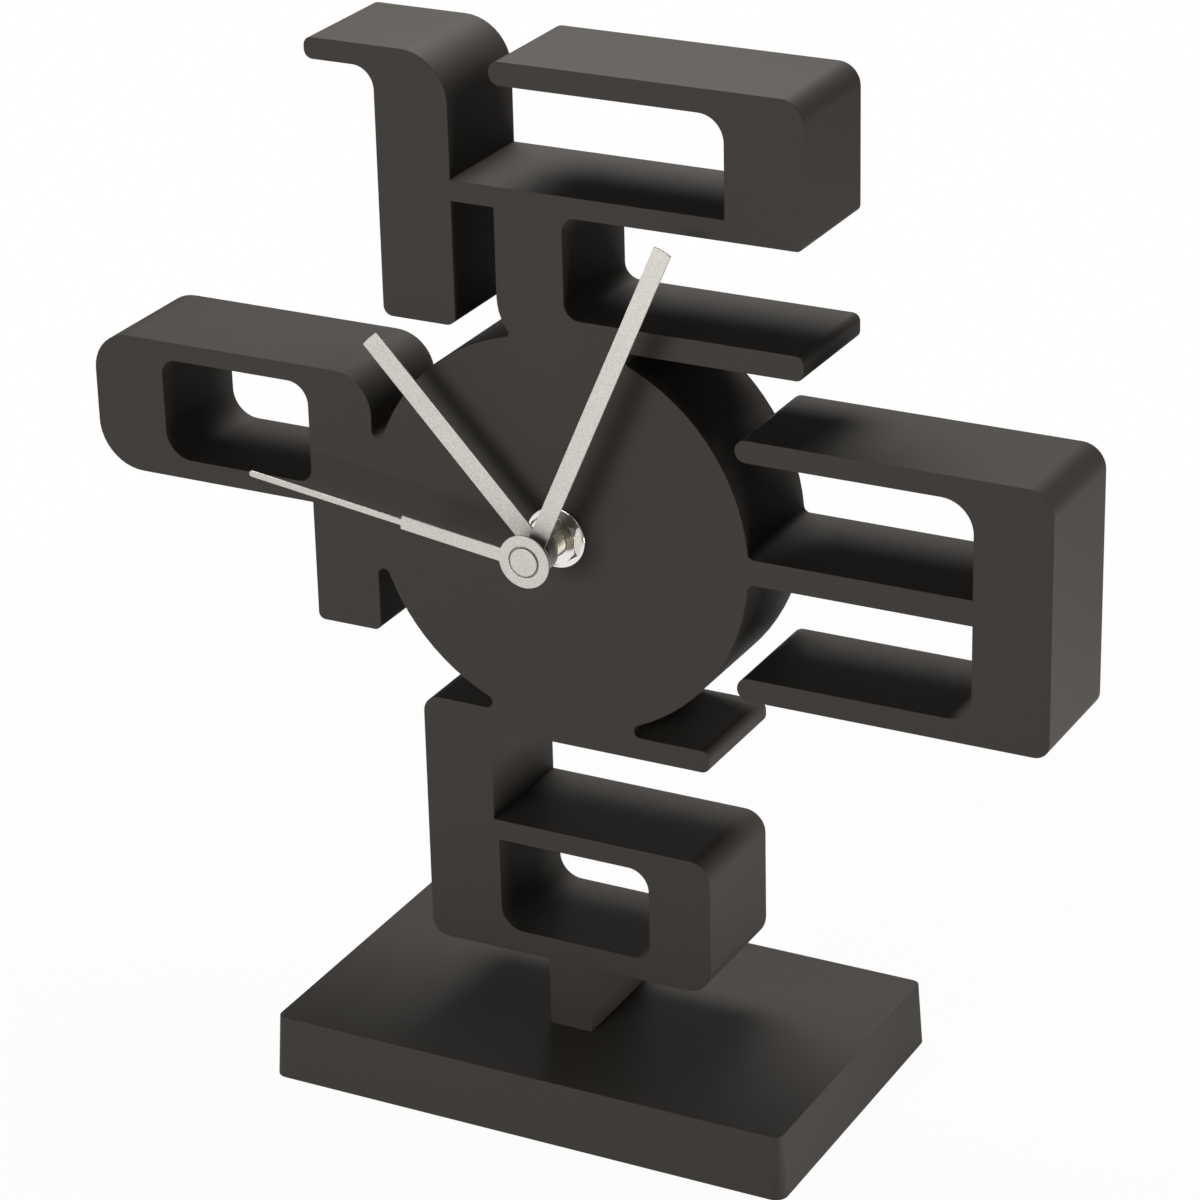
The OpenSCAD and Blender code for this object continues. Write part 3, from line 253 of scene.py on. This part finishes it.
class Paint:
    """A material with one Principled surface, built up from fields."""

    def __init__(self, name, color, rough, metal=0.0):
        self.material = bpy.data.materials.new(name)
        self.material.use_nodes = True
        self.tree = self.material.node_tree
        self.bsdf = self.tree.nodes["Principled BSDF"]
        self.color = color
        self.bsdf.inputs["Base Color"].default_value = (*color, 1)
        self.bsdf.inputs["Roughness"].default_value = rough
        self.bsdf.inputs["Metallic"].default_value = metal
        coord = self.tree.nodes.new("ShaderNodeTexCoord")
        self.place = Field(self.tree, coord.outputs["Object"])

    def source(self, kind, output):
        """Output of a node that needs no input."""
        return Field(self.tree, self.tree.nodes.new(kind).outputs[output])

    def glow(self, share):
        """Mixes the given share of plain white light into the surface."""
        white = self.tree.nodes.new("ShaderNodeEmission")
        mix = self.tree.nodes.new("ShaderNodeMixShader")
        feed(self.tree, mix.inputs[0], share)
        self.tree.links.new(self.bsdf.outputs[0], mix.inputs[1])
        self.tree.links.new(white.outputs[0], mix.inputs[2])
        self.tree.links.new(mix.outputs[0], self.tree.nodes["Material Output"].inputs[0])

    def stretched(self, x, y, z):
        """The place, with each axis multiplied, for noise that is drawn out into lines."""
        return self.place.through("ShaderNodeMapping", Scale=(x, y, z))

    def noise(self, grain, detail=2.0, at=None, rough=0.5):
        """Noise whose lumps are about grain metres across."""
        return (at or self.place).through(
            "ShaderNodeTexNoise", slot="Vector", Scale=1 / grain, Detail=detail, Roughness=rough
        )

    def tone(self, field, dark, light):
        """Base colour that runs from dark to light times the material's own colour."""
        ends = [tuple(c * k for c in self.color) + (1,) for k in (dark, light)]
        node = self.tree.nodes.new("ShaderNodeMix")
        node.data_type = "RGBA"
        feed(self.tree, node.inputs["Factor"], field)
        node.inputs[6].default_value = ends[0]
        node.inputs[7].default_value = ends[1]
        feed(self.tree, self.bsdf.inputs["Base Color"], Field(self.tree, node.outputs[2]))

    def rough(self, field):
        feed(self.tree, self.bsdf.inputs["Roughness"], field)

    def bump(self, field, height):
        """Bump of the given height in metres where the field runs from 0 to 1."""
        node = self.tree.nodes.new("ShaderNodeBump")
        node.inputs["Distance"].default_value = height
        feed(self.tree, node.inputs["Height"], field)
        feed(self.tree, self.bsdf.inputs["Normal"], Field(self.tree, node.outputs[0]))

    def fixed(self, **values):
        for key, value in values.items():
            self.bsdf.inputs[key.replace("_", " ")].default_value = value


def lacquer():
    """Satin black lacquer sprayed on smooth board, slightly warm and faintly uneven."""
    paint = Paint("satin_lacquer", (0.0384, 0.0326, 0.0269), 0.64)
    peel = paint.noise(0.9 * MM, 3)
    cloud = paint.noise(35 * MM, 2)
    dust = paint.noise(0.35 * MM, 1)
    paint.tone(cloud * 0.7 + dust * 0.3, 0.86, 1.14)
    paint.rough(0.6 + cloud * 0.05 + peel * 0.04)
    paint.bump(peel * 0.6 + dust * 0.4, 0.012 * MM)
    paint.fixed(Specular_IOR_Level=0.3)
    return paint.material


def blasted_metal():
    """Bead-blasted aluminium: a fine sparkling grain in tone, gloss and relief."""
    paint = Paint("blasted_metal", (0.54, 0.52, 0.485), 0.5, 0.85)
    grain = paint.noise(0.28 * MM, 2)
    patch = paint.noise(1.6 * MM, 2)
    paint.tone(grain.step(0.3, 0.72) * 0.75 + patch * 0.25, 0.7, 1.16)
    paint.rough(0.4 + grain * 0.25)
    paint.bump(grain, 0.03 * MM)
    return paint.material


def bright_plating():
    """Bright plating with the faint rings of turning."""
    paint = Paint("bright_plating", (0.86, 0.84, 0.8), 0.16, 1.0)
    turning = paint.noise(0.5 * MM, 2, paint.stretched(1, 8, 1))
    paint.tone(turning, 0.86, 1.06)
    paint.rough(0.12 + turning * 0.12)
    return paint.material


def turned_brass():
    """Pale brass with the rings of turning."""
    paint = Paint("turned_brass", (0.86, 0.8, 0.64), 0.25, 1.0)
    turning = paint.noise(0.4 * MM, 3, paint.stretched(1, 10, 1))
    paint.tone(turning, 0.8, 1.1)
    paint.rough(0.18 + turning * 0.18)
    return paint.material


def moulded(name, color, rough=0.5, grain=0.5, relief=0.02):
    """Moulded plastic with a fine even texture and a faint flow pattern."""
    paint = Paint(name, color, rough)
    fine = paint.noise(grain * MM, 2)
    flow = paint.noise(14 * MM, 2)
    paint.tone(flow * 0.6 + fine * 0.4, 0.9, 1.1)
    paint.rough(rough - 0.06 + fine * 0.12)
    paint.bump(fine, relief * MM)
    return paint.material


def turned_steel(name, color=(0.6, 0.6, 0.6), rough=0.3):
    """Bare metal with fine drawn or turned lines."""
    paint = Paint(name, color, rough, 1.0)
    turning = paint.noise(0.6 * MM, 3, paint.stretched(1, 6, 1))
    paint.tone(turning, 0.84, 1.08)
    paint.rough(rough - 0.06 + turning * 0.12)
    paint.bump(turning, 0.008 * MM)
    return paint.material


def felt():
    """Dense dark felt with loose fibres and soft clumps."""
    paint = Paint("felt", (0.03, 0.03, 0.031), 0.95)
    fibre = paint.noise(0.5 * MM, 4, rough=0.7)
    clump = paint.noise(4 * MM, 2)
    paint.tone(fibre * 0.7 + clump * 0.3, 0.6, 1.5)
    paint.bump(fibre, 0.12 * MM)
    paint.fixed(Sheen_Weight=0.4, Sheen_Roughness=0.5)
    return paint.material


def circuit():
    """Green laminate with a few straight conductor runs under the lacquer."""
    paint = Paint("circuit", (0.03, 0.17, 0.07), 0.35)
    weave = paint.noise(0.4 * MM, 2, paint.stretched(3, 1, 1))
    runs = paint.place.through(
        "ShaderNodeTexBrick", slot="Vector", output=1, Scale=260.0, Mortar_Size=0.09
    )
    paint.tone(weave * 0.4 + runs * 0.6, 0.8, 1.5)
    paint.rough(0.3 + weave * 0.1)
    return paint.material


def copper():
    """Enamelled wire wound in fine turns round the coil's long axis."""
    paint = Paint("copper", (0.72, 0.3, 0.14), 0.3, 1.0)
    # A band of this texture is pi / (10 * scale) wide
    turns = paint.place.through(
        "ShaderNodeTexWave",
        slot="Vector",
        settings={"bands_direction": "X"},
        Scale=math.pi / (10 * WIRE_TURN),
        Distortion=0.6,
    )
    paint.tone(turns, 0.6, 1.15)
    paint.rough(0.25 + turns * 0.1)
    paint.bump(turns, 0.05 * MM)
    return paint.material


def make_materials():
    """The material of every slot, and the dark one of the cap's socket, which is painted shade
    for the groove round the cap.
    """
    return {
        "frame_lacquer": lacquer(),
        "felt": felt(),
        "hand_metal": blasted_metal(),
        # The socket's dark colour is painted shade: it darkens the groove between the cap and the
        # second hand's ring
        "socket": turned_steel("socket", (0.05, 0.045, 0.04), 0.45),
        "plated": bright_plating(),
        "bush_brass": turned_brass(),
        "case_plastic": moulded("case_plastic", (0.02, 0.02, 0.021), 0.5, 0.35, 0.03),
        "rubber": moulded("rubber", (0.018, 0.018, 0.018), 0.8, 0.4, 0.03),
        "wheel_plastic": moulded("wheel_plastic", (0.78, 0.75, 0.68), 0.35),
        "pipe_plastic": moulded("pipe_plastic", (0.03, 0.03, 0.03), 0.4),
        "knob_plastic": moulded("knob_plastic", (0.7, 0.7, 0.67), 0.42),
        "steel": turned_steel("steel"),
        "board": circuit(),
        "chip": moulded("chip", (0.012, 0.012, 0.012), 0.25),
        "bobbin": moulded("bobbin", (0.5, 0.11, 0.06), 0.35),
        "copper": copper(),
        "lamination": turned_steel("lamination", (0.42, 0.42, 0.44), 0.42),
        "magnet": turned_steel("magnet", (0.16, 0.16, 0.17), 0.6),
        "contact": turned_steel("contact", (0.68, 0.66, 0.6), 0.28),
        "can": turned_steel("can", (0.62, 0.62, 0.62), 0.26),
        "jacket": moulded("jacket", (0.05, 0.055, 0.065), 0.28),
    }


def only(piece):
    """Makes one object the selected and active one."""
    bpy.ops.object.select_all(action="DESELECT")
    piece.select_set(True)
    bpy.context.view_layer.objects.active = piece


def body_of_node(node):
    for body, nodes in frame["record"]["behaviour"]["bodies"].items():
        if node in nodes:
            return body
    raise ValueError(node)


def slot_of_node(node):
    for row in frame["record"]["subparts"]:
        if row["node"] == node:
            return row["material_slot"]
    raise ValueError(node)


def dress(piece, node, materials):
    """Puts a new piece in the place of a node: body, slot, material and stand-in."""
    slot = slot_of_node(node)
    piece.data.materials.clear()
    piece.data.materials.append(materials[slot])
    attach(piece, body_of_node(node))
    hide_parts(node)


def softened(node, radius, materials, segments=2):
    """A copy of a solid whose sharp edges are rounded, which stands for it."""
    piece = bpy.data.objects.new(node + "_soft", NODES[node].data.copy())
    bpy.context.scene.collection.objects.link(piece)
    only(piece)
    bpy.ops.object.mode_set(mode="EDIT")
    bpy.ops.mesh.select_all(action="SELECT")
    bpy.ops.mesh.remove_doubles(threshold=WELD)
    bpy.ops.mesh.dissolve_limited(angle_limit=FLAT)
    bpy.ops.mesh.normals_make_consistent(inside=False)
    bpy.ops.object.mode_set(mode="OBJECT")
    bevel = piece.modifiers.new("edges", "BEVEL")
    bevel.width = radius
    bevel.segments = segments
    bevel.limit_method = "ANGLE"
    bevel.angle_limit = SHARP
    bevel.harden_normals = False
    bpy.ops.object.modifier_apply(modifier=bevel.name)
    bpy.ops.object.shade_smooth_by_angle(angle=SMOOTH)
    even = piece.modifiers.new("even", "WEIGHTED_NORMAL")
    even.keep_sharp = True
    bpy.ops.object.modifier_apply(modifier=even.name)
    dress(piece, node, materials)
    return piece


def corners(node):
    """Lowest and highest corner of a solid, in metres."""
    points = [NODES[node].matrix_world @ v.co for v in NODES[node].data.vertices]
    return [Vector(pick(p[i] for p in points) for i in range(3)) for pick in (min, max)]


def finished(piece, body, slot, materials):
    """Puts an added piece on its body, with its place kept in its mesh."""
    only(piece)
    bpy.ops.object.transform_apply(location=True, rotation=True, scale=True)
    piece.data.materials.append(materials[slot])
    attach(piece, body)


def select_points(piece, wanted):
    """Goes on in edit mode with just those points selected whose place is wanted."""
    bpy.ops.mesh.select_all(action="DESELECT")
    bpy.ops.object.mode_set(mode="OBJECT")
    for vertex in piece.data.vertices:
        vertex.select = wanted(vertex.co)
    bpy.ops.object.mode_set(mode="EDIT")


def resize_round(piece, low, high, share, axis_z):
    """Scales the points between two radii of the clock's axis towards or away from it."""
    bpy.ops.object.mode_set(mode="EDIT")
    bpy.ops.mesh.select_mode(type="VERT")
    select_points(piece, lambda p: low < math.hypot(p.x, p.z - axis_z) < high)
    middle = (0, piece.data.vertices[0].co.y, axis_z)
    bpy.ops.transform.resize(value=(share, 1, share), center_override=middle)
    bpy.ops.object.mode_set(mode="OBJECT")


def ringed_second_hand(materials):
    """The second hand, with its bore drawn in to the width that the photograph shows."""
    piece = softened("second_hand", SHEET_EDGE, materials)
    axis_z = bush_span()[2]
    resize_round(piece, 0, RING_BORE_CAD + 2 * SLACK, RING_BORE / RING_BORE_CAD, axis_z)


def socketed_cap(materials):
    """The cap with its head drawn in inside the ring, on a socket coloured dark as painted shade
    in the groove round the cap.
    """
    piece = softened("second_cap", TURNED_EDGE, materials, segments=3)
    axis_z = bush_span()[2]
    rim = (CAP_HEAD_CAD - TURNED_EDGE - SLACK, CAP_HEAD_CAD + SLACK)
    resize_round(piece, *rim, CAP_HEAD / CAP_HEAD_CAD, axis_z)
    # Faces of the socket behind the ring take the dark material, painted shade for the groove
    # round the cap
    piece.data.materials.append(materials["socket"])
    front = corners("second_hand")[1].y
    for face in piece.data.polygons:
        if face.center.y > front - SLACK:
            face.material_index = 1


def bush_span():
    """Front end of the bush, back of the nut and height of their axis."""
    low, high = corners("hex_nut")
    return corners("threaded_bush")[0].y, high.y, (low.z + high.z) / 2


def bush_core(materials):
    """The bush turned down to the root of its thread from inside the nut forwards."""
    piece = softened("threaded_bush", BUSH_CHAMFER, materials, segments=1)
    front, back, axis_z = bush_span()
    shoulder = back - THREAD_PITCH / 4
    bpy.ops.object.mode_set(mode="EDIT")
    for place in (shoulder, shoulder - THREAD_DEPTH):
        bpy.ops.mesh.select_all(action="SELECT")
        bpy.ops.mesh.bisect(plane_co=(0, place, 0), plane_no=(0, 1, 0))
    bpy.ops.mesh.select_mode(type="VERT")
    reach = shoulder - THREAD_DEPTH / 2
    inner = BUSH_RADIUS - BUSH_CHAMFER - SLACK
    select_points(piece, lambda p: p.y < reach and math.hypot(p.x, p.z - axis_z) > inner)
    share = 1 - THREAD_DEPTH / BUSH_RADIUS
    bpy.ops.transform.resize(value=(share, 1, share), center_override=(0, front, axis_z))
    bpy.ops.object.mode_set(mode="OBJECT")


def bush_thread(materials):
    """Ridge of triangular section wound round the bush between its end and the nut."""
    end, stop, axis_z = bush_span()
    first = end + BUSH_CHAMFER + THREAD_PITCH / 2
    bpy.ops.object.select_all(action="DESELECT")
    section = THREAD_DEPTH / 1.5  # a triangle is one and a half of its radii deep
    bpy.ops.mesh.primitive_circle_add(vertices=3, radius=section, location=(0, 0, axis_z))
    ridge = bpy.context.object
    ridge.name = "bush_thread"
    bpy.ops.object.mode_set(mode="EDIT")
    bpy.ops.mesh.select_all(action="SELECT")
    bpy.ops.transform.rotate(value=math.radians(90), orient_axis="Z")
    bpy.ops.transform.resize(value=(1, RIDGE_SPREAD * THREAD_PITCH / THREAD_DEPTH, 1))
    bpy.ops.transform.translate(value=(BUSH_RADIUS - section, first, 0))
    bpy.ops.object.mode_set(mode="OBJECT")
    turn = ridge.modifiers.new("turn", "SCREW")
    turn.axis = "Y"
    turn.screw_offset = THREAD_PITCH
    turn.iterations = math.floor((stop - first) / THREAD_PITCH)
    turn.steps = turn.render_steps = THREAD_STEPS
    turn.use_merge_vertices = True
    bpy.ops.object.modifier_apply(modifier=turn.name)
    bpy.ops.object.mode_set(mode="EDIT")
    bpy.ops.mesh.select_all(action="SELECT")
    bpy.ops.mesh.fill_holes(sides=0)
    bpy.ops.mesh.normals_make_consistent(inside=False)
    bpy.ops.object.mode_set(mode="OBJECT")
    bpy.ops.object.shade_smooth_by_angle(angle=SMOOTH)
    finished(ridge, "stand", "bush_brass", materials)


def paint_nodes(materials):
    """Gives every solid the material of its slot."""
    for row in frame["record"]["subparts"]:
        mesh = NODES[row["node"]].data
        mesh.materials.clear()
        mesh.materials.append(materials[row["material_slot"]])


def build():
    """Dresses the clock: paint on all solids, and rounded forms for those that show."""
    materials = make_materials()
    paint_nodes(materials)
    softened("numeral_frame", FRAME_EDGE, materials, segments=3)
    softened("base_plate", BASE_EDGE, materials, segments=3)
    for node in ("hour_hand", "minute_hand"):
        softened(node, SHEET_EDGE, materials)
    ringed_second_hand(materials)
    socketed_cap(materials)
    softened("dial_washer", TURNED_EDGE, materials, segments=3)
    softened("hex_nut", SMALL_EDGE, materials)
    bush_core(materials)
    bush_thread(materials)
    softened("movement_cover", TURNED_EDGE, materials)
    softened("setting_knob", SMALL_EDGE, materials)
    softened("cover_screws", SMALL_EDGE, materials)
    softened("battery_cell", TURNED_EDGE, materials)
    softened("battery_jacket", SMALL_EDGE, materials)
    softened("felt_pad", FELT_EDGE, materials)


add_camera()
add_light()
build()
add_floor()
bpy.context.scene.view_settings.view_transform = "Standard"
